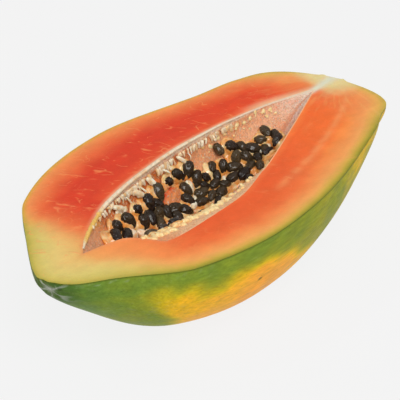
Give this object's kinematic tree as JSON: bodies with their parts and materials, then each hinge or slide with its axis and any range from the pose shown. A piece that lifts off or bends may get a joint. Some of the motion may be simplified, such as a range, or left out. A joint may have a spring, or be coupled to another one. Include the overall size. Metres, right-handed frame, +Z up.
{
  "type": "papaya half",
  "caption": "Half of a ripe papaya, cut lengthways and lying on its skin with the cut face up. An open hollow along its middle holds the dark seeds.",
  "frame": {"origin": "under the middle of the fruit, on the surface it rests on: the bottom centre of its bounding box", "axes": "+X along the fruit to the stem end, +Y across it, +Z up, square to the cut face"},
  "size_m": [0.2, 0.104, 0.05],
  "materials": {
    "flesh": "moist orange-red flesh that pales to yellow-green under a green and yellow skin",
    "seeds": "glossy, dark brown-black, wrinkled",
    "pulp": "moist cream-white seed strands and lining"
  },
  "bodies": {
    "root": {"papaya_flesh": "flesh", "seed_cluster": "seeds"}
  },
  "joints": []
}
